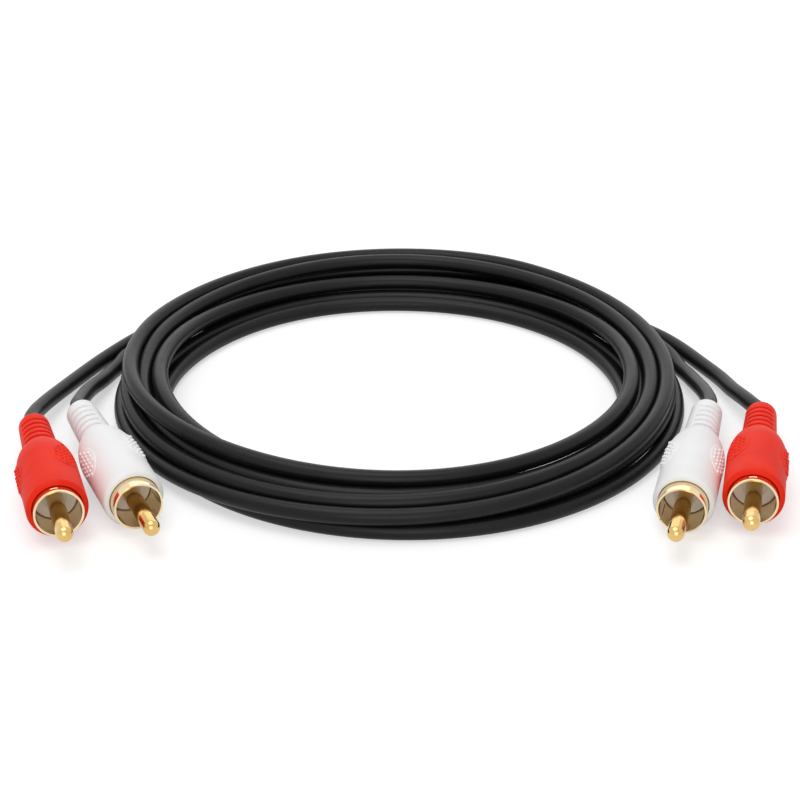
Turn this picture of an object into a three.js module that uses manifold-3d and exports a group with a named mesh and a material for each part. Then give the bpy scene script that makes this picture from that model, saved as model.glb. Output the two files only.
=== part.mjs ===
// A coiled stereo audio lead with four moulded plugs, lying on a flat surface at z = 0.
// Millimetres, +Z up. The origin is under the middle of the four plugs.
import * as THREE from "three";
import { mergeVertices } from "three/addons/utils/BufferGeometryUtils.js";
import Module from "manifold-3d";

const wasm = await Module();
wasm.setup();

// Driving dimensions of the cord
const strandDiameter = 3.3;
const coreDiameter = 1.7;
const conductorDiameter = 0.6;
const pigtailDiameter = 0.8;
const leadSides = 8;

// Driving dimensions of the coil: the outline of its bundle of strands
const coilInnerRadius = 45.4;
const coilBundleWidth = 13.9;
const coilBundleHeight = 9.6;
const coilCentre = [0.4, 0.8]; // the ring's middle, from the middle of the layout

// Driving dimensions of a plug's metal parts
const pinDiameter = 3.2;
const pinReach = 8; // straight length past the shell's rim, before the domed tip
const pinStemDiameter = 2;
const solderCupDiameter = 2.6;
const solderCupLength = 3;
const shellDiameter = 9.3;
const shellWall = 0.4;
const shellReach = 2.8; // how far the shell stands out of the grip
const shellInset = 5.4; // how far the shell goes into the grip
const shellThroat = 6.2; // diameter of the hole in the shell's back wall
const seamWidth = 0.5;
const insulatorDepth = 6.7; // from the shell's rim back to the insulator's face
const insulatorTail = 2.4; // length of the insulator's bush behind the shell
const tabWidth = 2;
const tabLength = 7;

// Driving dimensions of the moulded grip
const gripDiameter = 11.5;
const gripBarrelLength = 15.4;
const gripEdge = 0.8; // rounding of the front edge
const shoulderLength = 11.8; // half length of the elliptical shoulder
const gripLength = 38.5; // front face to the end of the strain relief
const reliefRootDiameter = 7;
const reliefEndDiameter = 6.2;
const reliefRounding = 1.4;
const reliefGrooves = 5;
const grooveWidth = 0.8;
const groovePitch = 2.15;
const grooveDepth = 0.75;
const grooveSector = 130; // degrees that each groove runs round, leaving a spine at each side
const lastGrooveFromEnd = 4;
const padCount = 3;
const padLength = 9.4;
const padWidth = 5.6;
const padHeight = 0.35;
const padPlace = 13; // middle of a pad, behind the front face

// Driving dimensions of the inner mould
const mouldDiameter = 7.8;
const mouldLength = 11.5;
const mouldBore = 3;

const clearance = 0.1; // between round pieces that fit one in another
const cordGap = 0.3; // between a cord and what it meets
const roundSegments = 24;

// Where the plugs lie. x and y are the middle of a white grip's front face from the layout's
// middle. A red plug lies beside its white one, a gap away and so far forward. Then come the
// heading of the pin from straight forward, how far the nose is raised, the roll of the first
// pad, and the shell's seam from that pad, in degrees
const red = 0xe8392a;
const white = 0xf2f2f0;
const plugPlaces = [
  { name: "left_white", colour: white, x: -48.3, y: -53, heading: 23, tilt: 0, roll: -50, seam: -50 },
  { name: "left_red", colour: red, gap: 2.6, forward: -1.9, heading: 16, tilt: 3.2, roll: 85, seam: 100 },
  { name: "right_white", colour: white, x: 52.9, y: -54.2, heading: -14.3, tilt: 0, roll: 58, seam: 62 },
  { name: "right_red", colour: red, gap: 0.8, forward: -4.8, heading: -11.5, tilt: 3, roll: -75, seam: -100 },
];
for (const [whitePlug, redPlug, side] of [
  [plugPlaces[0], plugPlaces[1], -1],
  [plugPlaces[2], plugPlaces[3], 1],
]) {
  const turn = (whitePlug.heading * Math.PI) / 180;
  const across = side * (gripDiameter + redPlug.gap);
  redPlug.x = whitePlug.x + across * Math.cos(turn) + redPlug.forward * Math.sin(turn);
  redPlug.y = whitePlug.y + across * Math.sin(turn) - redPlug.forward * Math.cos(turn);
}

// The leads outside the plugs, from the strain relief to the coil, as points from the layout's middle
const leadRoutes = {
  left_red: [
    [-73.2, -17, 4.5],
    [-72.9, -14, 4.2],
    [-71.6, -7.7, 3.4],
    [-69.6, -1.1, 2.7],
    [-66.6, 7.4, 2.05],
    [-63.4, 15, 1.7],
    [-60.1, 21.2, 1.65],
    [-56.7, 26.6, 1.65],
    [-53.1, 31.2, 1.65],
    [-50.2, 35.1, 1.65],
  ],
  left_white: [
    [-64.3, -14.4, 5.7],
    [-64.4, -11, 5],
    [-63.7, -3.1, 3.6],
    [-62, 3.5, 2.5],
    [-60.9, 8.4, 1.8],
    [-59.6, 12.4, 1.65],
    [-58.8, 16.4, 1.65],
  ],
  right_white: [
    [63.2, -13.7, 5.7],
    [63.6, -9.7, 5.1],
    [63.3, -3.7, 4],
    [62.5, 2.4, 2.85],
    [61.7, 7, 2.15],
    [60.6, 11.2, 1.7],
    [59.9, 15.2, 1.65],
    [58.7, 19.2, 1.65],
  ],
  right_red: [
    [74, -12, 4.5],
    [73.5, -9.2, 4.1],
    [71.8, -5, 3.4],
    [70.1, -1, 2.85],
    [68.2, 5.1, 2.35],
    [65.2, 13.3, 1.8],
    [61.9, 20.7, 1.65],
    [58.7, 26, 1.65],
    [55.2, 30.4, 1.65],
    [52.2, 34.2, 1.65],
    [49.4, 37.5, 1.65],
  ],
};

const degrees = (value) => (value * Math.PI) / 180;

// Closed geometry to solid and back, so that pieces can be joined and cut
function solid(geometry) {
  const bare = geometry.clone();
  bare.deleteAttribute("normal");
  bare.deleteAttribute("uv");
  const merged = mergeVertices(bare, 1e-4);
  return new wasm.Manifold(
    new wasm.Mesh({
      numProp: 3,
      vertProperties: new Float32Array(merged.attributes.position.array),
      triVerts: new Uint32Array(merged.index.array),
    }),
  );
}

function geometryOf(body) {
  const mesh = body.getMesh();
  const geometry = new THREE.BufferGeometry();
  geometry.setAttribute("position", new THREE.BufferAttribute(mesh.vertProperties, 3));
  geometry.setIndex(new THREE.BufferAttribute(mesh.triVerts, 1));
  geometry.computeVertexNormals();
  return geometry;
}

// A round piece about the plug's axis, Y. The profile runs from back to front, [radius, y]
function turned(profile, segments = roundSegments) {
  return new THREE.LatheGeometry(
    profile.map(([radius, y]) => new THREE.Vector2(radius, y)),
    segments,
  );
}

function arcPoints(centreRadius, centreY, radius, from, to, steps) {
  return Array.from({ length: steps + 1 }, (_, i) => {
    const angle = degrees(from + ((to - from) * i) / steps);
    return [centreRadius + radius * Math.cos(angle), centreY + radius * Math.sin(angle)];
  });
}

// Places along a plug's axis, from the grip's front face, forward positive
const rimPlace = shellReach;
const insulatorFace = rimPlace - insulatorDepth;
const shellBack = -shellInset;
const insulatorBack = shellBack - insulatorTail;
const cupBack = insulatorBack - solderCupLength;
const mouldFront = insulatorBack - clearance;
const mouldBack = mouldFront - mouldLength;
const reliefEnd = -gripLength;
const jacketEnd = mouldBack - cordGap;
const shoulderStart = -gripBarrelLength;
const reliefRoot =
  shoulderStart - shoulderLength * Math.sqrt(1 - (reliefRootDiameter / gripDiameter) ** 2);

// Radius of the shoulder at a place along the axis
function shoulderRadius(y, extra = 0) {
  const along = (y - shoulderStart) / shoulderLength;
  return (gripDiameter / 2) * Math.sqrt(Math.max(0, 1 - along * along)) + extra;
}

// The grip's outline, from the strain relief's end to the front face, raised by extra
function gripOutline(extra) {
  const endRadius = reliefEndDiameter / 2 - reliefRounding;
  const shoulderSteps = 7;
  const shoulder = Array.from({ length: shoulderSteps }, (_, i) => {
    const y = reliefRoot + ((shoulderStart - reliefRoot) * i) / shoulderSteps;
    return [shoulderRadius(y, extra), y];
  });
  const frontEdge = arcPoints(gripDiameter / 2 - gripEdge, -gripEdge, gripEdge + extra, 0, 90, 3);
  return [
    ...arcPoints(endRadius, reliefEnd + reliefRounding, reliefRounding + extra, -90, 0, 3),
    ...shoulder,
    [gripDiameter / 2 + extra, shoulderStart],
    ...frontEdge,
  ];
}

// One groove of the strain relief: a ring sector that leaves a spine at each side
function grooveCutter(y, middle) {
  const inner = reliefEndDiameter / 2 - grooveDepth;
  const outer = reliefRootDiameter / 2 + 1;
  const start = degrees(middle - grooveSector / 2);
  const end = degrees(middle + grooveSector / 2);
  const shape = new THREE.Shape();
  shape.absarc(0, 0, outer, start, end, false);
  shape.absarc(0, 0, inner, end, start, true);
  shape.closePath();
  const geometry = new THREE.ExtrudeGeometry(shape, {
    depth: grooveWidth,
    bevelEnabled: false,
    curveSegments: 6,
  });
  geometry.rotateX(Math.PI / 2); // the section's plane is now across the axis, Y
  geometry.translate(0, y + grooveWidth / 2, 0);
  return solid(geometry);
}

// A raised oval pad: the grip's own outline a little larger, kept only inside an oval
function padBody(angle) {
  const raised = solid(turned([[0, reliefEnd], ...gripOutline(padHeight), [0, padHeight]]));
  const oval = new THREE.Shape();
  oval.absellipse(0, 0, padWidth / 2, padLength / 2, 0, 2 * Math.PI, false, 0);
  const prism = new THREE.ExtrudeGeometry(oval, {
    depth: gripDiameter,
    bevelEnabled: false,
    curveSegments: 6,
  });
  prism.translate(0, -padPlace, 0);
  prism.rotateY(degrees(angle));
  return raised.intersect(solid(prism));
}

function gripGeometry() {
  const boreRadius = strandDiameter / 2 + cordGap;
  const mouldRadius = mouldDiameter / 2 + clearance;
  const shellRadius = shellDiameter / 2 + clearance;
  const outline = gripOutline(0);
  let body = solid(turned([[0, reliefEnd], ...outline, [0, 0]]));
  for (let i = 0; i < padCount; i++) {
    body = body.add(padBody((360 / padCount) * i));
  }
  const hollow = turned([
    [0, reliefEnd - 1],
    [boreRadius, reliefEnd - 1],
    [boreRadius, mouldBack - clearance],
    [mouldRadius, mouldBack - clearance],
    [mouldRadius, shellBack - clearance],
    [shellRadius, shellBack - clearance],
    [shellRadius, 1],
    [0, 1],
  ]);
  body = body.subtract(solid(hollow));
  for (let i = 0; i < reliefGrooves; i++) {
    const y = reliefEnd + lastGrooveFromEnd + groovePitch * i;
    for (const middle of [0, 180]) {
      body = body.subtract(grooveCutter(y, middle));
    }
  }
  return geometryOf(body);
}

function shellGeometry() {
  const outer = shellDiameter / 2;
  const inner = outer - shellWall;
  const throat = shellThroat / 2;
  let body = solid(
    turned([
      [throat, shellBack],
      [outer, shellBack],
      [outer, rimPlace - shellWall / 2],
      [outer - shellWall / 2, rimPlace],
      [inner, rimPlace - shellWall / 2],
      [inner, shellBack + shellWall],
      [throat, shellBack + shellWall],
      [throat, shellBack],
    ]),
  );
  const seamLength = insulatorDepth;
  const seam = new THREE.BoxGeometry(seamWidth, seamLength, shellDiameter);
  seam.translate(0, rimPlace - seamLength / 2 + shellWall, shellDiameter / 2);
  body = body.subtract(solid(seam));
  const tab = new THREE.BoxGeometry(tabWidth, tabLength + shellWall / 2, shellWall);
  tab.translate(0, shellBack - tabLength / 2 + shellWall / 4, -(throat + shellWall / 2));
  return geometryOf(body.add(solid(tab)));
}

function pinGeometry() {
  const radius = pinDiameter / 2;
  const stem = pinStemDiameter / 2;
  const cup = solderCupDiameter / 2;
  const cupBore = conductorDiameter / 2 + cordGap;
  const face = insulatorFace + clearance;
  const tipCentre = rimPlace + pinReach;
  return turned([
    [0, cupBack + solderCupLength / 2],
    [cupBore, cupBack + solderCupLength / 2],
    [cupBore, cupBack],
    [cup, cupBack],
    [cup, insulatorBack - clearance],
    [stem, insulatorBack - clearance],
    [stem, face],
    [radius, face],
    ...arcPoints(0, tipCentre, radius, 0, 90, 6).slice(0, -1),
    [0, tipCentre + radius],
  ]);
}

function insulatorGeometry() {
  const bore = pinStemDiameter / 2 + clearance;
  const rim = shellDiameter / 2 - shellWall - clearance;
  const bush = shellThroat / 2 - clearance;
  const seat = shellBack + shellWall + clearance;
  return turned([
    [bore, insulatorBack],
    [bush, insulatorBack],
    [bush, seat],
    [rim, seat],
    [rim, insulatorFace],
    [bore, insulatorFace],
    [bore, insulatorBack],
  ]);
}

function mouldGeometry() {
  const outer = mouldDiameter / 2;
  const bore = mouldBore / 2;
  const body = solid(
    turned([
      [bore, mouldBack],
      [outer, mouldBack],
      [outer, mouldFront],
      [bore, mouldFront],
      [bore, mouldBack],
    ]),
  );
  // channel under the axis for the shell's solder tab and the shield's pigtail
  const channelWidth = tabWidth + 4 * clearance;
  const channel = new THREE.BoxGeometry(channelWidth, 3 * mouldLength, mouldDiameter);
  channel.translate(0, mouldBack, -mouldDiameter / 2);
  return geometryOf(body.subtract(solid(channel)));
}

function coreGeometry() {
  const outer = coreDiameter / 2;
  const bore = conductorDiameter / 2 + clearance;
  const front = cupBack - 2 * clearance;
  return turned([
    [bore, jacketEnd + cordGap],
    [outer, jacketEnd + cordGap],
    [outer, front],
    [bore, front],
    [bore, jacketEnd + cordGap],
  ], 16);
}

function conductorGeometry() {
  const radius = conductorDiameter / 2;
  const front = cupBack + solderCupLength / 2 - clearance;
  return turned([
    [0, jacketEnd + cordGap],
    [radius, jacketEnd + cordGap],
    [radius, front],
    [0, front],
  ], 12);
}

// Section of a cord, a polygon of the cord's outer diameter
function roundSection(diameter, sides) {
  const shape = new THREE.Shape();
  for (let i = 0; i < sides; i++) {
    const angle = (2 * Math.PI * i) / sides;
    const x = (diameter / 2) * Math.cos(angle);
    const y = (diameter / 2) * Math.sin(angle);
    if (i === 0) shape.moveTo(x, y);
    else shape.lineTo(x, y);
  }
  shape.closePath();
  return shape;
}

// The shield's strands, twisted together, from the jacket's end down to the solder tab
function pigtailGeometry() {
  const tabTop = -(shellThroat / 2) + pigtailDiameter / 2 + clearance;
  const start = jacketEnd + cordGap + pigtailDiameter / 2;
  const end = shellBack - tabLength / 2;
  const startHeight = -(coreDiameter + pigtailDiameter) / 2 - clearance;
  const points = [
    new THREE.Vector3(0, start, startHeight),
    new THREE.Vector3(0, start + 2, startHeight - 0.2),
    new THREE.Vector3(0, (start + end) / 2, (startHeight + tabTop) / 2 - 0.3),
    new THREE.Vector3(0, end - 1, tabTop),
    new THREE.Vector3(0, end, tabTop),
  ];
  return new THREE.ExtrudeGeometry(roundSection(pigtailDiameter, 6), {
    steps: 8,
    bevelEnabled: false,
    extrudePath: new THREE.CatmullRomCurve3(points),
  });
}

const metalGold = { color: 0xd9b878, metalness: 1, roughness: 0.25 };
const metalCopper = { color: 0xc07a4a, metalness: 1, roughness: 0.35 };
const blackJacket = { color: 0x161616, metalness: 0, roughness: 0.5 };
const paleInsulator = { color: 0xe6e0d6, metalness: 0, roughness: 0.6 };
const naturalMould = { color: 0xd8d5cc, metalness: 0, roughness: 0.7 };

function piece(name, geometry, look) {
  const mesh = new THREE.Mesh(geometry, new THREE.MeshStandardMaterial(look));
  mesh.name = name;
  return mesh;
}

// Each plug's own axis is Y, with the pin forward and the first pad up, before it is laid down
function plug(place) {
  const gripLook = { color: place.colour, metalness: 0, roughness: 0.45 };
  const body = new THREE.Group();
  body.rotation.order = "ZXY";
  body.rotation.set(degrees(place.tilt), degrees(place.roll), Math.PI + degrees(place.heading));
  body.position.set(place.x, place.y, 0);
  const shell = piece(place.name + "_ground_shell", shellGeometry(), metalGold);
  const mould = piece(place.name + "_inner_mould", mouldGeometry(), naturalMould);
  const pigtail = piece(place.name + "_shield_pigtail", pigtailGeometry(), metalCopper);
  for (const turnedPiece of [shell, mould, pigtail]) {
    turnedPiece.rotation.y = degrees(place.seam);
  }
  body.add(
    piece(place.name + "_grip", gripGeometry(), gripLook),
    shell,
    piece(place.name + "_centre_pin", pinGeometry(), metalGold),
    piece(place.name + "_insulator", insulatorGeometry(), paleInsulator),
    mould,
    piece(place.name + "_core_insulation", coreGeometry(), paleInsulator),
    piece(place.name + "_centre_conductor", conductorGeometry(), metalCopper),
    pigtail,
  );
  // lowered until its lowest point rests on the surface
  body.position.z = -new THREE.Box3().setFromObject(body, true).min.z;
  return body;
}

// A single lead: straight through the strain relief, then along its route to the coil
function lead(place, plugBody) {
  plugBody.updateMatrixWorld(true);
  const inside = [jacketEnd, (jacketEnd + reliefEnd) / 2, reliefEnd].map((y) =>
    plugBody.localToWorld(new THREE.Vector3(0, y, 0)),
  );
  const outside = leadRoutes[place.name].map((point) => new THREE.Vector3(...point));
  const path = new THREE.CatmullRomCurve3([...inside, ...outside], false, "centripetal");
  const stepLength = 2.2 * strandDiameter;
  const geometry = new THREE.ExtrudeGeometry(roundSection(strandDiameter, leadSides), {
    steps: Math.ceil(path.getLength() / stepLength),
    bevelEnabled: false,
    extrudePath: path,
  });
  return piece(place.name + "_lead", geometry, blackJacket);
}

// The coil as one ring of its bundle's outline
function coil() {
  const width = coilBundleWidth;
  const height = coilBundleHeight;
  const outline = [
    [0.09, 0],
    [0.9, 0],
    [1, 0.14],
    [1, 0.45],
    [0.93, 0.78],
    [0.74, 0.98],
    [0.5, 1],
    [0.28, 0.98],
    [0.08, 0.78],
    [0, 0.45],
    [0.01, 0.14],
    [0.09, 0],
  ].map(([across, up]) => [coilInnerRadius + across * width, up * height]);
  const ring = turned(outline, 64);
  ring.rotateX(Math.PI / 2);
  ring.translate(coilCentre[0], coilCentre[1], 0);
  return piece("cord_coil", ring, blackJacket);
}

const plugGroup = new THREE.Group();
const cordGroup = new THREE.Group();
for (const place of plugPlaces) {
  const body = plug(place);
  plugGroup.add(body);
  cordGroup.add(lead(place, body));
}
cordGroup.add(coil());

// The origin lies under the middle of the four plugs
const plugBox = new THREE.Box3().setFromObject(plugGroup, true);
const middle = plugBox.getCenter(new THREE.Vector3());
const laid = new THREE.Group();
laid.position.set(-middle.x, -middle.y, 0);
laid.add(plugGroup, cordGroup);

const cable = new THREE.Group();
cable.add(laid);

export default cable;
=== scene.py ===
import math

import bmesh
import bpy
import numpy as np
from mathutils import Matrix, Vector


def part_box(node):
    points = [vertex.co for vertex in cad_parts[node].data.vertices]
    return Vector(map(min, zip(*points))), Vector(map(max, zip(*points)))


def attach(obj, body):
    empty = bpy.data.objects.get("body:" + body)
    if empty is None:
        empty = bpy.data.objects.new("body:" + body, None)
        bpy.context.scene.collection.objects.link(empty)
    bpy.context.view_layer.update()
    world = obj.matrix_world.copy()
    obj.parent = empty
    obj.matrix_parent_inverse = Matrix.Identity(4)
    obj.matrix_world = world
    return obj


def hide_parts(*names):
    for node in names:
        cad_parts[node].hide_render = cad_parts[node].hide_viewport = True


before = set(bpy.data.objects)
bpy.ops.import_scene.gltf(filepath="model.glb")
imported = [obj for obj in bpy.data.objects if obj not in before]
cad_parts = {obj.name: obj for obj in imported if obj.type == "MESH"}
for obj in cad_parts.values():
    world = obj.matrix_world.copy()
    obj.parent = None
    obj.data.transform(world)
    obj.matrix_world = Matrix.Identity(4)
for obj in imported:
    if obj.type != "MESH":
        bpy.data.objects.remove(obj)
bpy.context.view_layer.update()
mm = 0.001

# The layout's middle, from which the plugs, leads and turns are placed
coilOffset = Vector((0.4 * mm, 0.8 * mm, 0))
coilLow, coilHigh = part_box("cord_coil")
layoutMiddle = (coilLow + coilHigh) / 2 - coilOffset
layoutMiddle.z = 0
print("frame loaded, layout middle at", [round(value, 5) for value in layoutMiddle])

cameraSet = {
    "place": (0.0007, -0.3735, 0.1902),
    "target": (0.0007, -0.0006, 0.0),
    "lens": 90,
    "sensor": 36,
    "clipStart": 0.01,
}


def addCamera():
    data = bpy.data.cameras.new("productCamera")
    data.lens = cameraSet["lens"]
    data.sensor_width = cameraSet["sensor"]
    data.clip_start = cameraSet["clipStart"]
    camera = bpy.data.objects.new("productCamera", data)
    bpy.context.scene.collection.objects.link(camera)
    camera.location = layoutMiddle + Vector(cameraSet["place"])
    aim = Vector(cameraSet["target"]) - Vector(cameraSet["place"])
    camera.rotation_euler = aim.to_track_quat("-Z", "Y").to_euler()
    bpy.context.scene.camera = camera


addCamera()
print("camera set")


# Shader maths: a socket that takes part in sums and products
class ShaderMath:
    def __init__(self, tree, socket=None):
        self.tree = tree
        self.socket = socket

    def node(self, kind, settings=None, inputs=None, output=0):
        made = self.tree.nodes.new("ShaderNode" + kind)
        for key, value in (settings or {}).items():
            setattr(made, key, value)
        for key, value in (inputs or {}).items():
            if isinstance(value, ShaderMath):
                self.tree.links.new(value.socket, made.inputs[key])
            else:
                made.inputs[key].default_value = value
        return ShaderMath(self.tree, made.outputs[output])

    def calc(self, operation, first, second):
        return self.node("Math", {"operation": operation}, {0: first, 1: second})

    def __add__(self, other):
        return self.calc("ADD", self, other)

    def __radd__(self, other):
        return self.calc("ADD", other, self)

    def __sub__(self, other):
        return self.calc("SUBTRACT", self, other)

    def __mul__(self, other):
        return self.calc("MULTIPLY", self, other)


def newMaterial(name):
    material = bpy.data.materials.new(name)
    material.use_nodes = True
    material.node_tree.nodes.clear()
    return material, ShaderMath(material.node_tree)


def objectPlace(maths):
    return maths.node("TexCoord", output=3)  # the Object output


def grain(maths, place, size, detail=3.0, roughness=0.55):
    inputs = {"Vector": place, "Scale": 1 / size, "Detail": detail, "Roughness": roughness}
    return maths.node("TexNoise", inputs=inputs)


def blendColour(maths, amount, first, second):
    inputs = {0: amount, 6: (*first, 1), 7: (*second, 1)}  # the factor and the two colours
    return maths.node("Mix", {"data_type": "RGBA"}, inputs, output=2)


def limit(maths, value, low, high):
    inputs = {"Value": value, "From Min": low, "From Max": high}
    return maths.node("MapRange", {"clamp": True}, inputs)


def bump(maths, height, depth, strength=1.0):
    inputs = {"Height": height, "Distance": depth, "Strength": strength}
    return maths.node("Bump", inputs=inputs)


# Noise about its middle, so that it adds as much as it takes away
def drift(noise, amount):
    return (noise - 0.5) * amount


def toOutput(maths, shader, kind="OutputMaterial"):
    output = maths.tree.nodes.new("ShaderNode" + kind)
    maths.tree.links.new(shader.socket, output.inputs["Surface"])


def surface(maths, inputs):
    toOutput(maths, maths.node("BsdfPrincipled", inputs=inputs))


# Satin black PVC, slightly worn in patches, sizes in metres
cordLook = {
    "dark": (0.0045, 0.0045, 0.0048),
    "worn": (0.0085, 0.0085, 0.0090),
    "patchSize": 0.012,
    "patchRange": (0.35, 0.7),
    "patchRoughness": 0.10,
    "grainSize": 0.0009,
    "grainDepth": 0.00001,
    "grainRoughness": 0.16,
    "roughness": 0.36,
    "specular": 0.2,
}


def jacketMaterial():
    look = cordLook
    material, maths = newMaterial("jacketSatinBlack")
    place = objectPlace(maths)
    patch = grain(maths, place, look["patchSize"], 2.0)
    fine = grain(maths, place, look["grainSize"])
    worn = limit(maths, patch, *look["patchRange"])
    uneven = drift(fine, look["grainRoughness"]) + drift(patch, look["patchRoughness"])
    inputs = {
        "Base Color": blendColour(maths, worn, look["dark"], look["worn"]),
        "Roughness": look["roughness"] + uneven,
        "Specular IOR Level": look["specular"],
        "Normal": bump(maths, fine, look["grainDepth"]),
    }
    surface(maths, inputs)
    return material


# The coil. Its turns, along the twin cord, give the angle wound so far in degrees, then for the red
# channel's strand and the white one's the distance from the middle and the height in millimetres
coilSet = {
    "diameter": 0.0033,
    "stepsPerTurn": 72,
    "wholeTurns": 5,  # room for the wound range
    "startRounds": 12,
    "startSmooth": 0.5,
    "settleRounds": 500,
    "settleHold": 0.02,
    "settleSmooth": 0.35,
    "settlePushes": 3,
    "settleReach": 0.8,
    "endRounds": 20,
    "endSmooth": 0.08,
    "endReach": 0.6,
    "heldEnds": 8,  # degrees at each end that stay on the turns' own course
    "spacing": 0.0023,  # between the points of a finished cord
    "turns": [
        (164.4, (64.6, 1.65), (61.0, 1.65)),
        (145, (61.25, 1.65), (58.0, 1.65)),
        (120, (59.9, 1.65), (56.6, 1.65)),
        (90, (58.4, 1.65), (55.1, 1.65)),
        (0, (57.8, 1.65), (57.1, 4.9)),
        (-90, (57.3, 1.65), (54.0, 1.65)),
        (-180, (51.7, 1.65), (48.4, 1.65)),
        (-270, (47.3, 1.65), (44.0, 1.65)),
        (-360, (50.8, 1.65), (47.5, 1.65)),
        (-400, (51.9, 1.65), (48.9, 3.0)),
        (-450, (50.4, 1.65), (48.0, 4.5)),
        (-490, (50.2, 3.0), (48.5, 6.2)),
        (-515, (50.1, 3.9), (49.0, 7.0)),
        (-540, (50.05, 4.5), (49.1, 7.9)),
        (-590, (52.2, 2.4), (50.0, 4.9)),
        (-630, (52.5, 1.8), (50.3, 4.3)),
        (-655, (52.3, 2.0), (50.1, 4.6)),
        (-675, (51.9, 2.8), (49.8, 5.4)),
        (-720, (50.0, 4.85), (48.6, 7.85)),
        (-810, (51.2, 5.6), (48.3, 7.9)),
        (-850, (51.7, 5.9), (50.3, 9.0)),
        (-875, (51.9, 6.0), (52.9, 9.1)),
        (-900, (52.0, 6.9), (55.1, 8.0)),
        (-990, (55.7, 7.9), (58.9, 7.7)),
        (-1080, (52.0, 7.4), (55.2, 7.6)),
        (-1170, (54.2, 6.1), (57.2, 4.7)),
        (-1260, (55.2, 4.5), (56.85, 1.65)),
        (-1276, (55.8, 5.0), (57.2, 2.0)),
        (-1295, (59.2, 5.6), (56.2, 4.4)),
        (-1320, (59.6, 5.2), (56.2, 4.9)),
        (-1350, (59.2, 4.8), (55.9, 5.1)),
        (-1378, (60.9, 3.4), (57.6, 4.6)),
        (-1390, (61.6, 2.2), (59.3, 4.6)),
        (-1403, (62.0, 1.65), (59.95, 4.24)),
        (-1411, (63.0, 1.65), (60.45, 3.75)),
        (-1416, (64.2, 1.65), (61.0, 2.0)),
        (-1422, (65.3, 1.65), (61.8, 1.65)),
    ],
    "redRange": (140, -1400),  # degrees from which and to which the red channel's strand is wound
    "whiteRange": (160, -1415),
    "joined": (128, -1375),  # degrees between which the strands are one twin cord
}

# The single leads, from a plug's strain relief to the coil, from the layout's middle
leadRoutes = {
    "left_red": [
        (-0.0732, -0.0170, 0.0045),
        (-0.0729, -0.0140, 0.0042),
        (-0.0716, -0.0077, 0.0034),
        (-0.0696, -0.0011, 0.0027),
        (-0.0666, 0.0074, 0.00205),
        (-0.0634, 0.0150, 0.0017),
        (-0.0601, 0.0212, 0.00165),
        (-0.0567, 0.0266, 0.00165),
        (-0.0531, 0.0312, 0.00165),
        (-0.0502, 0.0351, 0.00165),
    ],
    "left_white": [
        (-0.0643, -0.0144, 0.0057),
        (-0.0644, -0.0110, 0.0050),
        (-0.0637, -0.0031, 0.0036),
        (-0.0620, 0.0035, 0.0025),
        (-0.0609, 0.0084, 0.0018),
        (-0.0596, 0.0124, 0.00165),
        (-0.0588, 0.0164, 0.00165),
    ],
    "right_white": [
        (0.0632, -0.0137, 0.0057),
        (0.0636, -0.0097, 0.0051),
        (0.0633, -0.0037, 0.0040),
        (0.0625, 0.0024, 0.00285),
        (0.0617, 0.0070, 0.00215),
        (0.0606, 0.0112, 0.0017),
        (0.0599, 0.0152, 0.00165),
        (0.0587, 0.0192, 0.00165),
    ],
    "right_red": [
        (0.0723, -0.0117, 0.0046),
        (0.0714, -0.0083, 0.0042),
        (0.0706, -0.0052, 0.0037),
        (0.0697, -0.0016, 0.0031),
        (0.0682, 0.0051, 0.00235),
        (0.0652, 0.0133, 0.0018),
        (0.0619, 0.0207, 0.00165),
        (0.0587, 0.0260, 0.00165),
        (0.0552, 0.0304, 0.00165),
        (0.0522, 0.0342, 0.00165),
        (0.0494, 0.0375, 0.00165),
    ],
}

# Where the plugs lie: the middle of the grip's front face, from the layout's middle, and in
# degrees the pin's heading, the raised nose, the roll of the first pad and of the shell's seam.
# Then how far the plug is slid forward along its axis, and its contacts are sunk into the grip
plugPlaces = {
    "left_white": {
        "at": (-0.048300, -0.053000, 0.0060768),
        "heading": 23,
        "tilt": 0,
        "roll": -50,
        "seam": -50,
        "slide": 0,
        "sink": 0,
    },
    "left_red": {
        "at": (-0.062022, -0.056760, 0.0068972),
        "heading": 16,
        "tilt": 3.2,
        "roll": 85,
        "seam": 100,
        "slide": 0.0014,
        "sink": 0.0010,
    },
    "right_white": {
        "at": (0.052900, -0.054200, 0.0060963),
        "heading": -14.3,
        "tilt": 0,
        "roll": 58,
        "seam": 62,
        "slide": 0.0004,
        "sink": 0,
    },
    "right_red": {
        "at": (0.066004, -0.052587, 0.0069306),
        "heading": -11.5,
        "tilt": 3,
        "roll": -75,
        "seam": -100,
        "slide": 0.0015,
        "sink": 0.0010,
    },
}
reliefEnd = -0.0385  # end of the strain relief, behind the front face
jacketEnd = -0.0197  # where the jacket is stripped inside the grip


def plugMatrix(name, seam=False, contact=False):
    place = plugPlaces[name]
    turned = Matrix.Rotation(math.radians(180 + place["heading"]), 4, "Z")
    turned = turned @ Matrix.Rotation(math.radians(place["tilt"]), 4, "X")
    turned = turned @ Matrix.Translation((0, place["slide"] - place["sink"] * contact, 0))
    turned = turned @ Matrix.Rotation(math.radians(place["roll"]), 4, "Y")
    if seam:
        turned = turned @ Matrix.Rotation(math.radians(place["seam"]), 4, "Y")
    return Matrix.Translation(layoutMiddle + Vector(place["at"])) @ turned


def spreadKeys(strand, angles):
    wound = [-key[0] for key in coilSet["turns"]]
    keys = np.array([key[1 + strand] for key in coilSet["turns"]])
    columns = [np.interp(-angles, wound, keys[:, i]) for i in (0, 1)]
    return np.stack(columns, axis=1) * mm


def smoothAlong(places, live, amount):
    middle = places[:, 1:-1]
    mean = (places[:, :-2] + places[:, 2:]) / 2
    inner = live[:, 1:-1] & live[:, :-2] & live[:, 2:]
    middle[inner] += amount * (mean - middle)[inner]


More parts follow.
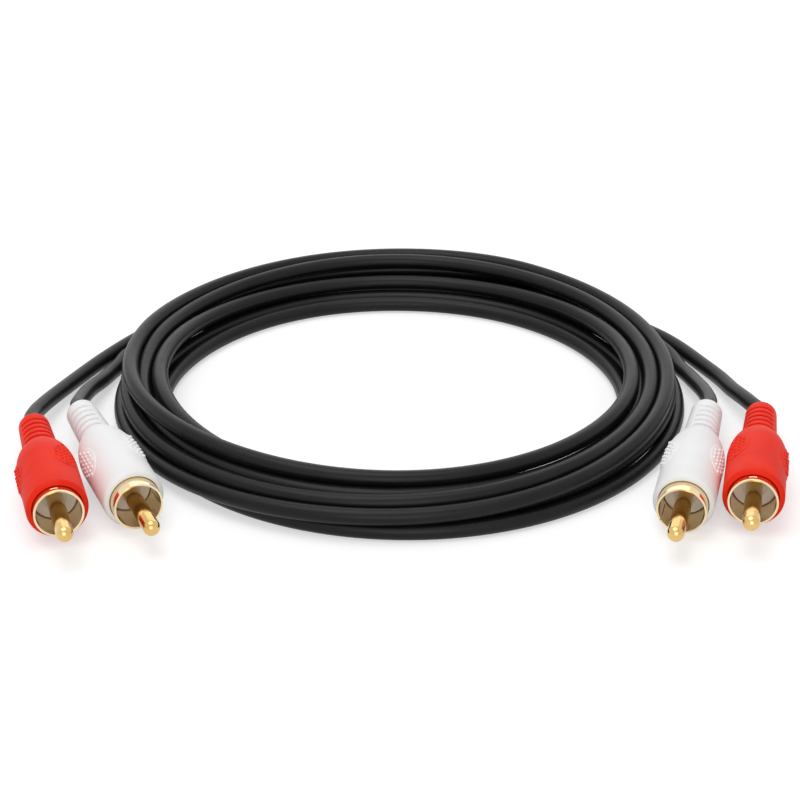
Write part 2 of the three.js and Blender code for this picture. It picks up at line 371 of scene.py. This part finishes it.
# Turns side by side and on each other: strands are pushed a diameter apart in every section
def pushApart(places, live, joined, reach):
    diameter = coilSet["diameter"]
    steps = coilSet["stepsPerTurn"]
    section = places.reshape(-1, steps, 2)
    there = live.reshape(-1, steps)
    apart = section[:, None] - section[None]
    distance = np.linalg.norm(apart, axis=-1) + 1e-9
    both = there[:, None] & there[None] & ~np.eye(len(section), dtype=bool)[..., None]
    short = np.where(both, np.clip(diameter - distance, 0, None), 0)
    section += 0.5 * reach * ((apart / distance[..., None]) * short[..., None]).sum(axis=1)
    pair = places[0] - places[1]
    width = np.linalg.norm(pair, axis=-1, keepdims=True) + 1e-9
    shift = np.where(joined[:, None], (width - diameter) / 2 * pair / width, 0)
    places[0] -= shift
    places[1] += shift
    np.maximum(places[..., 1], diameter / 2, out=places[..., 1])


def settleCoil():
    c = coilSet
    steps = c["stepsPerTurn"]
    ranges = (c["redRange"], c["whiteRange"])
    angles = c["whiteRange"][0] - 360 / steps * np.arange(c["wholeTurns"] * steps)
    target = np.stack([spreadKeys(0, angles), spreadKeys(1, angles)])
    slack = 0.1
    live = np.stack([(angles <= start + slack) & (angles >= end - slack) for start, end in ranges])
    joined = (angles < c["joined"][0]) & (angles > c["joined"][1])
    held = np.stack([np.abs(angles - start) < c["heldEnds"] for start, end in ranges])
    held |= np.stack([np.abs(angles - end) < c["heldEnds"] for start, end in ranges])
    places = target.copy()
    for _ in range(c["startRounds"]):
        smoothAlong(places, live, c["startSmooth"])
    for _ in range(c["settleRounds"]):
        smoothAlong(places, live, c["settleSmooth"])
        places += c["settleHold"] * (target - places)
        for _ in range(c["settlePushes"]):
            pushApart(places, live, joined, c["settleReach"])
        places[held] = target[held]
    for _ in range(c["endRounds"]):
        pushApart(places, live, joined, c["endReach"])
        smoothAlong(places, live, c["endSmooth"])
        places[held] = target[held]
    return angles, places, live


# A smooth course through all the points
def splineThrough(points):
    points = np.array(points, float)
    closed = np.vstack([2 * points[0] - points[1], points, 2 * points[-1] - points[-2]])
    made = []
    for i in range(len(points) - 1):
        before, start, stop, after = closed[i : i + 4]
        square = 2 * before - 5 * start + 4 * stop - after
        cube = 3 * start - before - 3 * stop + after
        pieces = max(1, int(round(np.linalg.norm(stop - start) / coilSet["spacing"])))
        for t in np.arange(pieces) / pieces:
            made.append(start + 0.5 * ((stop - before) * t + square * t**2 + cube * t**3))
    made.append(points[-1])
    return np.array(made)


# From inside the plug, where the jacket ends, out to the coil
def leadPoints(name):
    matrix = plugMatrix(name)
    depths = (jacketEnd, (jacketEnd + reliefEnd) / 2, reliefEnd)
    points = [list(matrix @ Vector((0, depth, 0))) for depth in depths]
    return points + [list(layoutMiddle + Vector(point)) for point in leadRoutes[name]]


def strandPoints(row, leftPlug, rightPlug, angles, places, live):
    points = leadPoints(leftPlug)
    for angle, (radius, height) in zip(angles[live[row]], places[row][live[row]]):
        turn = math.radians(angle)
        across = Vector((radius * math.cos(turn), radius * math.sin(turn), height))
        points.append(list(layoutMiddle + across))
    return splineThrough(points + leadPoints(rightPlug)[::-1])


def addStrand(name, points, material):
    data = bpy.data.curves.new(name, "CURVE")
    data.dimensions = "3D"
    data.bevel_depth = coilSet["diameter"] / 2
    data.bevel_resolution = 6
    data.use_fill_caps = True
    spline = data.splines.new("POLY")
    spline.points.add(len(points) - 1)
    spline.points.foreach_set("co", np.hstack([points, np.ones((len(points), 1))]).ravel())
    spline.use_smooth = True
    strand = bpy.data.objects.new(name, data)
    bpy.context.scene.collection.objects.link(strand)
    data.materials.append(material)
    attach(strand, "root")
    return strand


jacket = jacketMaterial()
angles, places, live = settleCoil()
redPoints = strandPoints(0, "left_red", "right_red", angles, places, live)
whitePoints = strandPoints(1, "left_white", "right_white", angles, places, live)
redStrand = addStrand("cord_red_channel", redPoints, jacket)
whiteStrand = addStrand("cord_white_channel", whitePoints, jacket)
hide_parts("cord_coil", "left_red_lead", "right_red_lead")
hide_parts("left_white_lead", "right_white_lead")
print("cords laid")


# Turned pieces stand on the bench along Z, with the pin's end up, before they go to their plugs
def startEdit(piece):
    bpy.context.view_layer.objects.active = piece
    piece.select_set(True)
    bpy.ops.object.mode_set(mode="EDIT")


def endEdit():
    bpy.ops.object.mode_set(mode="OBJECT")


def clearSelection():
    bpy.ops.object.select_all(action="DESELECT")


def growRings(name, sides, rings):
    clearSelection()
    radius, height = rings[0]
    bpy.ops.mesh.primitive_circle_add(vertices=sides, radius=radius * mm, location=(0, 0, height * mm))
    piece = bpy.context.object
    piece.name = name
    bpy.ops.object.transform_apply(location=True, rotation=True, scale=True)
    startEdit(piece)
    bpy.ops.mesh.select_mode(type="EDGE")
    bpy.ops.mesh.select_all(action="SELECT")
    for nextRadius, nextHeight in rings[1:]:
        rise = (nextHeight - height) * mm
        bpy.ops.mesh.extrude_region_move(TRANSFORM_OT_translate={"value": (0, 0, rise)})
        if nextRadius != radius:
            across = nextRadius / radius
            centre = (0, 0, nextHeight * mm)
            bpy.ops.transform.resize(value=(across, across, 1), center_override=centre)
        radius, height = nextRadius, nextHeight
    return piece


def pickFaces(piece, wanted):
    bpy.ops.mesh.select_mode(type="FACE")
    bpy.ops.mesh.select_all(action="DESELECT")
    mesh = bmesh.from_edit_mesh(piece.data)
    for face in mesh.faces:
        face.select_set(bool(wanted(face.calc_center_median(), face.normal)))
    bmesh.update_edit_mesh(piece.data)


def pickEdges(piece, wanted):
    bpy.ops.mesh.select_mode(type="EDGE")
    bpy.ops.mesh.select_all(action="DESELECT")
    mesh = bmesh.from_edit_mesh(piece.data)
    for edge in mesh.edges:
        edge.select_set(bool(wanted(edge)))
    bmesh.update_edit_mesh(piece.data)


def openEdges(piece):
    pickEdges(piece, lambda edge: len(edge.link_faces) == 1)


def squareUp(piece):
    bpy.ops.mesh.select_all(action="SELECT")
    bpy.ops.mesh.remove_doubles(threshold=0.000002)
    bpy.ops.mesh.normals_make_consistent(inside=False)


def finishWith(piece, kind, **settings):
    bpy.context.view_layer.objects.active = piece
    modifier = piece.modifiers.new(kind.lower(), kind)
    for key, value in settings.items():
        setattr(modifier, key, value)
    bpy.ops.object.modifier_apply(modifier=modifier.name)


def smoothPiece(piece, degrees=35):
    clearSelection()
    piece.select_set(True)
    bpy.context.view_layer.objects.active = piece
    bpy.ops.object.shade_smooth_by_angle(angle=math.radians(degrees))


def arc(middleRadius, middleHeight, radius, start, end, steps):
    turns = [math.radians(start + (end - start) * i / steps) for i in range(steps + 1)]
    return [(middleRadius + radius * math.cos(t), middleHeight + radius * math.sin(t)) for t in turns]


# Angle of a bench point about the axis, zero at the first pad and growing towards local +X
def padAngle(point):
    return math.degrees(math.atan2(point.x, -point.y))


# The moulded grip: barrel, elliptical shoulder and ribbed strain relief, sizes in millimetres
gripSet = {
    "radius": 5.75,
    "edge": 0.8,
    "barrel": 15.4,
    "shoulder": 11.8,
    "length": 38.5,
    "rootRadius": 3.5,
    "endRadius": 3.1,
    "endRounding": 1.4,
    "shellBore": 4.75,
    "shellSeat": -5.5,
    "mouldBore": 4.0,
    "mouldSeat": -19.5,
    "leadBore": 1.95,
    "grooveFirst": -34.5,
    "groovePitch": 2.15,
    "grooveWidth": 0.8,
    "grooves": 5,
    "grooveFloor": 2.4,
    "grooveSector": 130,
    "sides": 96,
    "edgeSteps": 6,
    "barrelSteps": 4,
    "shoulderSteps": 14,
    "roundedEdge": 0.14,
}


# Where the shoulder ends and the strain relief begins
def reliefRoot():
    g = gripSet
    return -g["barrel"] - g["shoulder"] * math.sqrt(1 - (g["rootRadius"] / g["radius"]) ** 2)


def reliefRadius(height):
    g = gripSet
    last = -g["length"] + g["endRounding"]
    along = (reliefRoot() - height) / (reliefRoot() - last)
    return g["rootRadius"] + (g["endRadius"] - g["rootRadius"]) * along


def gripRings():
    g = gripSet
    root = reliefRoot()
    rings = [(g["shellBore"], 0.0)]
    rings += arc(g["radius"] - g["edge"], -g["edge"], g["edge"], 0, 90, g["edgeSteps"])[::-1]
    rings += [(g["radius"], -g["barrel"] * k / g["barrelSteps"]) for k in range(1, g["barrelSteps"] + 1)]
    for k in range(1, g["shoulderSteps"] + 1):
        height = -g["barrel"] + (root + g["barrel"]) * k / g["shoulderSteps"]
        along = (height + g["barrel"]) / g["shoulder"]
        rings.append((g["radius"] * math.sqrt(1 - along * along), height))
    for k in reversed(range(g["grooves"])):
        middle = g["grooveFirst"] + g["groovePitch"] * k
        for height in (middle + g["grooveWidth"] / 2, middle - g["grooveWidth"] / 2):
            rings.append((reliefRadius(height), height))
    endMiddle = (g["endRadius"] - g["endRounding"], g["endRounding"] - g["length"])
    rounding = arc(*endMiddle, g["endRounding"], 0, -80, g["edgeSteps"])
    rings += [point for point in rounding if point[0] > g["leadBore"] + 0.1]
    rings.append((g["leadBore"], -g["length"] + 0.03))
    rings += [(g["leadBore"], g["mouldSeat"]), (g["mouldBore"], g["mouldSeat"])]
    rings += [(g["mouldBore"], g["shellSeat"]), (g["shellBore"], g["shellSeat"])]
    return rings


def cutGrooves(piece):
    half = gripSet["grooveWidth"] / 2
    for k in range(gripSet["grooves"]):
        middle = gripSet["grooveFirst"] + gripSet["groovePitch"] * k

        def inGroove(centre, normal):
            outside = math.hypot(centre.x, centre.y) > (gripSet["endRadius"] - 0.1) * mm
            here = abs(centre.z / mm - middle) < half
            aside = abs(abs(padAngle(centre)) - 90) < gripSet["grooveSector"] / 2
            return outside and here and aside

        pickFaces(piece, inGroove)
        across = gripSet["grooveFloor"] / reliefRadius(middle)
        bpy.ops.mesh.extrude_region_move(TRANSFORM_OT_translate={"value": (0, 0, 0)})
        bpy.ops.transform.resize(value=(across, across, 1), center_override=(0, 0, middle * mm))


# A raised oval pad with rows of small domes, made flat and then wrapped round the barrel, sizes in
# millimetres as for all turned pieces
padSet = {
    "length": 9.4,
    "width": 5.6,
    "place": -13.0,  # the pad's middle, behind the front face
    "sides": 48,
    "pads": 3,
    "rise": 0.05,
    "crown": 0.07,
    "steps": ((0.10, 0.65), (0.16, 0.35), (0.6, 0), (0.7, 0), (0.7, 0)),  # inset, share of the crown
    "root": 0.3,
    "dotPitch": 0.88,
    "rowPitch": 1.40,
    "dotReach": 6,  # rows and columns each way, of which those on the pad are kept
    "dotRadius": 0.34,
    "dotStretch": 1.25,
    "dotHeight": 0.23,
    "dotRoot": 0.06,
    "margin": 0.5,
}


# The root that sinks into what the piece stands on
def closeBelow(piece, depth):
    openEdges(piece)
    bpy.ops.mesh.extrude_region_move(TRANSFORM_OT_translate={"value": (0, 0, -depth * mm)})
    bpy.ops.mesh.edge_face_add()
    squareUp(piece)


def flatDot():
    clearSelection()
    bpy.ops.mesh.primitive_uv_sphere_add(segments=10, ring_count=8, radius=padSet["dotRadius"] * mm)
    dot = bpy.context.object
    dot.name = "padDot"
    startEdit(dot)
    pickFaces(dot, lambda centre, normal: centre.z < -0.02 * mm)
    bpy.ops.mesh.delete(type="FACE")
    bpy.ops.mesh.select_all(action="SELECT")
    low = padSet["dotHeight"] / padSet["dotRadius"]
    bpy.ops.transform.resize(value=(1, padSet["dotStretch"], low), center_override=(0, 0, 0))
    closeBelow(dot, padSet["dotRoot"])
    endEdit()
    return dot


def flatPad():
    clearSelection()
    radius = padSet["length"] / 2 * mm
    bpy.ops.mesh.primitive_circle_add(vertices=padSet["sides"], radius=radius, fill_type="NGON")
    pad = bpy.context.object
    pad.name = "gripPad"
    startEdit(pad)
    bpy.ops.mesh.select_all(action="SELECT")
    narrow = padSet["width"] / padSet["length"]
    bpy.ops.transform.resize(value=(narrow, 1, 1), center_override=(0, 0, 0))
    bpy.ops.mesh.extrude_region_move(TRANSFORM_OT_translate={"value": (0, 0, padSet["rise"] * mm)})
    for thickness, share in padSet["steps"]:
        bpy.ops.mesh.inset(thickness=thickness * mm, depth=padSet["crown"] * share * mm)
    bpy.ops.mesh.poke()
    pickFaces(pad, lambda centre, normal: normal.z < -0.9)
    bpy.ops.mesh.delete(type="FACE")
    closeBelow(pad, padSet["root"])
    endEdit()
    return pad


def dotPlaces():
    halfWidth = padSet["width"] / 2 - padSet["margin"]
    halfLength = padSet["length"] / 2 - padSet["margin"]
    counts = range(-padSet["dotReach"], padSet["dotReach"] + 1)
    grid = [(column * padSet["dotPitch"], row * padSet["rowPitch"]) for row in counts for column in counts]
    return [(x, y) for x, y in grid if (x / halfWidth) ** 2 + (y / halfLength) ** 2 < 1]


def copyPiece(piece, name, matrix):
    data = piece.data.copy()
    data.transform(matrix)
    copied = bpy.data.objects.new(name, data)
    bpy.context.scene.collection.objects.link(copied)
    return copied


def joinPieces(main, others):
    clearSelection()
    for piece in [main] + others:
        piece.select_set(True)
    bpy.context.view_layer.objects.active = main
    bpy.ops.object.join()


def wrapOnBarrel(piece):
    radius = gripSet["radius"] * mm
    for vertex in piece.data.vertices:
        turn = vertex.co.x / radius
        out = radius + vertex.co.z
        along = padSet["place"] * mm + vertex.co.y
        vertex.co = (out * math.sin(turn), -out * math.cos(turn), along)


def dottedPad():
    pad = flatPad()
    dot = flatDot()
    top = (padSet["rise"] + padSet["crown"]) * mm
    dots = [
        copyPiece(dot, "padDot", Matrix.Translation((x * mm, y * mm, top)))
        for x, y in dotPlaces()
    ]
    bpy.data.objects.remove(dot)
    joinPieces(pad, dots)
    wrapOnBarrel(pad)
    return pad


# Keeps each point's height on the bench, for marks of turning that ring the axis
def noteAxis(piece):
    along = piece.data.attributes.new("alongAxis", "FLOAT", "POINT")
    heights = np.empty(len(piece.data.vertices) * 3, np.float32)
    piece.data.vertices.foreach_get("co", heights)
    along.data.foreach_set("value", heights.reshape(-1, 3)[:, 2].copy())


def gripMaster():
    grip = growRings("grip", gripSet["sides"], gripRings())
    openEdges(grip)
    bpy.ops.mesh.bridge_edge_loops()
    squareUp(grip)
    cutGrooves(grip)
    squareUp(grip)
    endEdit()
    width = gripSet["roundedEdge"] * mm
    finishWith(grip, "BEVEL", width=width, segments=3, limit_method="ANGLE", angle_limit=math.radians(40))
    pad = dottedPad()
    apart = math.radians(360 / padSet["pads"])
    turns = [Matrix.Rotation(apart * k, 4, "Z") for k in range(padSet["pads"])]
    pads = [copyPiece(pad, "gripPad", turn) for turn in turns]
    bpy.data.objects.remove(pad)
    joinPieces(grip, pads)
    smoothPiece(grip)
    noteAxis(grip)
    return grip


# The outer contact: a rolled shell with one open seam, a locking dimple and a solder tab
shellSet = {
    "radius": 4.65,
    "wall": 0.4,
    "rim": 2.8,
    "back": -5.4,
    "throat": 3.1,
    "backEdge": 0.35,
    "sides": 116,
    "seamBack": -3.5,  # the seam is open from here to the rim
    "seamRings": (-1.5, 0.2),
    "rimRing": 0.3,
    "dimple": (1.5, 1.95),
    "dimpleFacets": 3,  # each way from the middle
    "dimpleEdge": 0.06,
    "dimpleDepth": 0.07,
    "tabLength": 7.0,
    "tabSector": 19,  # degrees each way
    "roundedEdge": 0.09,
}


def shellMaster():
    s = shellSet
    corner = s["backEdge"]
    rings = [(s["throat"], s["back"]), (s["radius"] - corner, s["back"]), (s["radius"], s["back"] + corner)]
    heights = (s["seamBack"], *s["seamRings"], *s["dimple"], s["rim"] - s["rimRing"], s["rim"])
    rings += [(s["radius"], height) for height in heights]
    shell = growRings("groundShell", s["sides"], rings)
    step = 360 / s["sides"]

    def atTab(edge):
        middle = (edge.verts[0].co + edge.verts[1].co) / 2
        inner = math.hypot(middle.x, middle.y) < (s["throat"] + 0.1) * mm
        return inner and len(edge.link_faces) == 1 and abs(abs(padAngle(middle)) - 180) < s["tabSector"]

    def atSeam(centre, normal):
        behindMouth = centre.z > s["seamBack"] * mm and math.hypot(centre.x, centre.y) > 4 * mm
        return behindMouth and 0 < padAngle(centre) < step * 1.01

    def onDimple(centre, normal):
        outside = math.hypot(centre.x, centre.y) > (s["radius"] - 0.05) * mm
        here = s["dimple"][0] * mm < centre.z < s["dimple"][1] * mm
        return outside and here and abs(abs(padAngle(centre)) - 180) < step * (s["dimpleFacets"] + 0.01)

    pickEdges(shell, atTab)
    bpy.ops.mesh.extrude_region_move(TRANSFORM_OT_translate={"value": (0, 0, -s["tabLength"] * mm)})
    pickFaces(shell, atSeam)
    bpy.ops.mesh.delete(type="FACE")
    squareUp(shell)
    endEdit()
    finishWith(shell, "SOLIDIFY", thickness=s["wall"] * mm, offset=-1)
    startEdit(shell)
    pickFaces(shell, onDimple)
    bpy.ops.mesh.inset(thickness=s["dimpleEdge"] * mm)
    bpy.ops.mesh.extrude_region_move(TRANSFORM_OT_translate={"value": (0, -s["dimpleDepth"] * mm, 0)})
    squareUp(shell)
    endEdit()
    width = s["roundedEdge"] * mm
    finishWith(shell, "BEVEL", width=width, segments=3, limit_method="ANGLE", angle_limit=math.radians(50))
    smoothPiece(shell)
    noteAxis(shell)
    return shell


# The centre pin: a solder cup, a stem through the insulator and a long domed contact
pinSet = {
    "radius": 1.6,
    "stem": 1.0,
    "face": -3.8,
    "faceEdge": 0.15,
    "tip": 10.8,
    "tipSteps": 12,
    "cupRadius": 1.3,
    "cupBore": 0.6,
    "cupDepth": 1.5,
    "cupBack": -10.8,
    "cupFront": -7.9,
    "sides": 48,
}


def pinMaster():
    p = pinSet
    cup, corner = p["cupRadius"], p["faceEdge"]
    rings = [(p["cupBore"], p["cupBack"] + p["cupDepth"]), (p["cupBore"], p["cupBack"])]
    rings += [(cup - 0.1, p["cupBack"]), (cup, p["cupBack"] + 0.12)]
    rings += [(cup, p["cupFront"] - 0.05), (cup - 0.08, p["cupFront"])]
    rings += [(p["stem"], p["cupFront"]), (p["stem"], p["face"])]
    rings += [(p["radius"] - corner, p["face"]), (p["radius"], p["face"] + corner)]
    rings += [(p["radius"], p["face"] + (p["tip"] - p["face"]) * k / 5) for k in range(1, 5)]
    rings += arc(0, p["tip"], p["radius"], 0, 84, p["tipSteps"])
    pin = growRings("centrePin", p["sides"], rings)
    bpy.ops.mesh.edge_face_add()
    bpy.ops.mesh.poke()
    openEdges(pin)
    bpy.ops.mesh.edge_face_add()
    squareUp(pin)
    endEdit()
    smoothPiece(pin, 40)
    noteAxis(pin)
    return pin


# The insulator: a disc behind the shell's mouth, stepped round the pin, with its bush
insulatorSet = {
    "bore": 1.1,
    "bush": 3.0,
    "rim": 4.15,
    "rimEdge": 0.12,
    "back": -7.8,
    "backEdge": 0.1,
    "seat": -4.9,
    "face": -3.9,
    "well": 2.1,
    "wellDepth": 0.15,
    "sides": 72,
}


def insulatorMaster():
    n = insulatorSet
    corner, sunk = n["backEdge"], n["face"] - n["wellDepth"]
    rings = [(n["bore"], n["back"]), (n["bush"] - corner, n["back"]), (n["bush"], n["back"] + corner)]
    rings += [(n["bush"], n["seat"]), (n["rim"], n["seat"]), (n["rim"], n["face"] - n["rimEdge"])]
    rings += [(n["rim"] - n["rimEdge"], n["face"]), (n["well"] + n["wellDepth"], n["face"])]
    rings += [(n["well"], sunk), (n["bore"], sunk)]
    insulator = growRings("insulator", n["sides"], rings)
    openEdges(insulator)
    bpy.ops.mesh.bridge_edge_loops()
    squareUp(insulator)
    endEdit()
    smoothPiece(insulator)
    noteAxis(insulator)
    return insulator


def layPiece(master, plug, kind, seam, material):
    toAxis = Matrix.Rotation(math.radians(-90), 4, "X")
    contact = kind != "grip"
    piece = copyPiece(master, plug + "_" + kind + "_detail", plugMatrix(plug, seam, contact) @ toAxis)
    piece.data.materials.clear()
    piece.data.materials.append(material)
    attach(piece, "root")
    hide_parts(plug + "_" + kind)


# Soft moulded PVC in the two channels' colours, sizes in metres
gripLook = {
    "red": {"light": (0.94, 0.030, 0.008), "deep": (0.84, 0.020, 0.005), "slot": "grip_red"},
    "white": {"light": (0.96, 0.96, 0.96), "deep": (0.92, 0.92, 0.92), "slot": "grip_white"},
    "cloudSize": 0.006,
    "cloudShare": 0.7,
    "cloudRange": (0.35, 0.65),
    "grainSize": 0.00035,
    "grainShare": 0.3,
    "grainDepth": 0.00002,
    "grainStrength": 0.6,
    "grainRoughness": 0.2,
    "roughness": 0.55,
    "specular": 0.15,
}


def gripMaterial(colour):
    look = gripLook
    material, maths = newMaterial("grip" + colour.title())
    place = objectPlace(maths)
    cloud = grain(maths, place, look["cloudSize"], 2.0)
    fine = grain(maths, place, look["grainSize"], 2.0)
    patch = limit(maths, cloud * look["cloudShare"] + fine * look["grainShare"], *look["cloudRange"])
    inputs = {
        "Base Color": blendColour(maths, patch, look[colour]["deep"], look[colour]["light"]),
        "Roughness": look["roughness"] + drift(fine, look["grainRoughness"]),
        "Normal": bump(maths, fine, look["grainDepth"], look["grainStrength"]),
        "Specular IOR Level": look["specular"],
    }
    surface(maths, inputs)
    return material


# The plated finishes, with faint lines of turning, sizes in metres
metalLook = {
    "shell": {"pale": (0.88, 0.74, 0.50), "deep": (0.76, 0.59, 0.34)},
    "pin": {"pale": (0.80, 0.57, 0.25), "deep": (0.64, 0.40, 0.13)},
    "cloudSize": 0.004,
    "cloudShare": 0.6,
    "speckSize": 0.0004,
    "speckShare": 0.4,
    "speckRoughness": 0.14,
    "tintRange": (0.30, 0.72),
    "linePitch": 0.00009,
    "lineDepth": 0.0000015,
    "lineStrength": 0.5,
    "lineRoughness": 0.08,
    "roughness": 0.13,
}


def platedMaterial(kind):
    look = metalLook
    material, maths = newMaterial("plated" + kind.title())
    place = objectPlace(maths)
    along = maths.node("Attribute", {"attribute_name": "alongAxis"}, output=2)  # its Factor output
    cloud = grain(maths, place, look["cloudSize"])
    speck = grain(maths, place, look["speckSize"])
    turned = maths.node("CombineXYZ", inputs={0: along})
    lines = grain(maths, turned, look["linePitch"], 2.0)
    tint = limit(maths, cloud * look["cloudShare"] + speck * look["speckShare"], *look["tintRange"])
    uneven = drift(speck, look["speckRoughness"]) + drift(lines, look["lineRoughness"])
    inputs = {
        "Base Color": blendColour(maths, tint, look[kind]["deep"], look[kind]["pale"]),
        "Metallic": 1.0,
        "Roughness": look["roughness"] + uneven,
        "Normal": bump(maths, lines + speck * look["speckShare"], look["lineDepth"], look["lineStrength"]),
    }
    surface(maths, inputs)
    return material


# The finishes inside the plugs: a soft cloud of two tones with a fine grain
innerLooks = {
    "paleInsulator": {
        "deep": (0.82, 0.78, 0.74),
        "light": (0.90, 0.87, 0.84),
        "metallic": 0.0,
        "cloudSize": 0.0025,
        "cloudDetail": 3.0,
        "cloudRange": (0.3, 0.7),
        "grainSize": 0.0003,
        "grainDetail": 2.0,
        "grainDepth": 0.00001,
        "grainRoughness": 0.2,
        "roughness": 0.5,
    },
    "innerMouldNatural": {
        "deep": (0.52, 0.50, 0.44),
        "light": (0.72, 0.70, 0.62),
        "metallic": 0.0,
        "cloudSize": 0.003,
        "cloudDetail": 3.0,
        "cloudRange": (0.0, 1.0),
        "grainSize": 0.0005,
        "grainDetail": 3.0,
        "grainDepth": 0.00002,
        "grainRoughness": 0.2,
        "roughness": 0.6,
    },
    "twistedCopper": {
        "deep": (0.60, 0.24, 0.12),
        "light": (0.88, 0.48, 0.30),
        "metallic": 1.0,
        "cloudSize": 0.002,
        "cloudDetail": 2.0,
        "cloudRange": (0.3, 0.7),
        "grainSize": 0.00025,
        "grainDetail": 2.0,
        "grainDepth": 0.00003,
        "grainRoughness": 0.3,
        "roughness": 0.32,
    },
}


def innerMaterial(name):
    look = innerLooks[name]
    material, maths = newMaterial(name)
    place = objectPlace(maths)
    cloud = grain(maths, place, look["cloudSize"], look["cloudDetail"])
    fine = grain(maths, place, look["grainSize"], look["grainDetail"])
    patch = limit(maths, cloud, *look["cloudRange"])
    inputs = {
        "Base Color": blendColour(maths, patch, look["deep"], look["light"]),
        "Metallic": look["metallic"],
        "Roughness": look["roughness"] + drift(fine, look["grainRoughness"]),
        "Normal": bump(maths, fine, look["grainDepth"]),
    }
    surface(maths, inputs)
    return material


def dressNode(node, material):
    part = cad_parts[node]
    part.data.materials.clear()
    part.data.materials.append(material)


platedShell = platedMaterial("shell")
platedPin = platedMaterial("pin")
paleInsulator = innerMaterial("paleInsulator")
innerMould = innerMaterial("innerMouldNatural")
copper = innerMaterial("twistedCopper")
gripMaterials = {colour: gripMaterial(colour) for colour in ("red", "white")}

masters = {
    "grip": gripMaster(),
    "ground_shell": shellMaster(),
    "centre_pin": pinMaster(),
    "insulator": insulatorMaster(),
}
print("plug pieces modelled")

for plug in plugPlaces:
    colour = plug.split("_")[1]
    layPiece(masters["grip"], plug, "grip", False, gripMaterials[colour])
    layPiece(masters["ground_shell"], plug, "ground_shell", True, platedShell)
    layPiece(masters["centre_pin"], plug, "centre_pin", False, platedPin)
    layPiece(masters["insulator"], plug, "insulator", False, paleInsulator)
    dressNode(plug + "_inner_mould", innerMould)
    dressNode(plug + "_core_insulation", paleInsulator)
    dressNode(plug + "_centre_conductor", copper)
    dressNode(plug + "_shield_pigtail", copper)
for master in masters.values():
    bpy.data.objects.remove(master)
print("plugs laid")

stageSet = {
    "floorSize": 6,
    "floorHeight": -0.00002,
    "floorColour": (0.62, 0.62, 0.62),
    "floorLift": 0.52,  # added to what the camera sees, so that the open floor is white
    "worldStrength": 0.45,
    "key": {"place": (-0.20, -0.10, 1.20), "size": 0.90, "watts": 6.0},
    "fill": {"place": (0.0, -1.50, 0.60), "size": 1.00, "watts": 5.4},
    "rim": {"place": (0.0, 1.10, 0.60), "size": 1.20, "watts": 2.4},
}


# One for what the camera sees by itself, in gloss and through glass, and nought for light on the part
def viewRays(maths):
    kinds = ("Is Camera Ray", "Is Glossy Ray", "Is Transmission Ray")
    seen, glossy, through = (maths.node("LightPath", output=kind) for kind in kinds)
    return maths.calc("MINIMUM", seen + glossy + through, 1.0)


def addFloor():
    clearSelection()
    place = (0, 0, stageSet["floorHeight"])
    bpy.ops.mesh.primitive_plane_add(size=stageSet["floorSize"], location=place)
    floor = bpy.context.object
    floor.name = "paleFloor"
    material, maths = newMaterial("paleFloor")
    lit = maths.node("BsdfDiffuse", inputs={"Color": (*stageSet["floorColour"], 1)})
    glow = maths.node("Emission", inputs={"Color": (1, 1, 1, 1), "Strength": stageSet["floorLift"]})
    both = maths.node("AddShader", inputs={0: lit, 1: glow})
    toOutput(maths, maths.node("MixShader", inputs={0: viewRays(maths), 1: lit, 2: both}))
    floor.data.materials.append(material)


def addWorld():
    world = bpy.data.worlds.new("softWhite")
    world.use_nodes = True
    world.node_tree.nodes.clear()
    bpy.context.scene.world = world
    maths = ShaderMath(world.node_tree)
    level = stageSet["worldStrength"]
    inputs = {"Color": (1, 1, 1, 1), "Strength": level + viewRays(maths) * (1 - level)}
    toOutput(maths, maths.node("Background", inputs=inputs), "OutputWorld")


def addLamp(name):
    given = stageSet[name]
    data = bpy.data.lights.new(name, "AREA")
    data.shape = "SQUARE"
    data.size = given["size"]
    data.energy = given["watts"]
    lamp = bpy.data.objects.new(name, data)
    bpy.context.scene.collection.objects.link(lamp)
    lamp.location = layoutMiddle + Vector(given["place"])
    lamp.rotation_euler = (-Vector(given["place"])).to_track_quat("-Z", "Y").to_euler()


addFloor()
addWorld()
for lampName in ("key", "fill", "rim"):
    addLamp(lampName)
bpy.context.scene.view_settings.view_transform = "Standard"
print("stage lit")
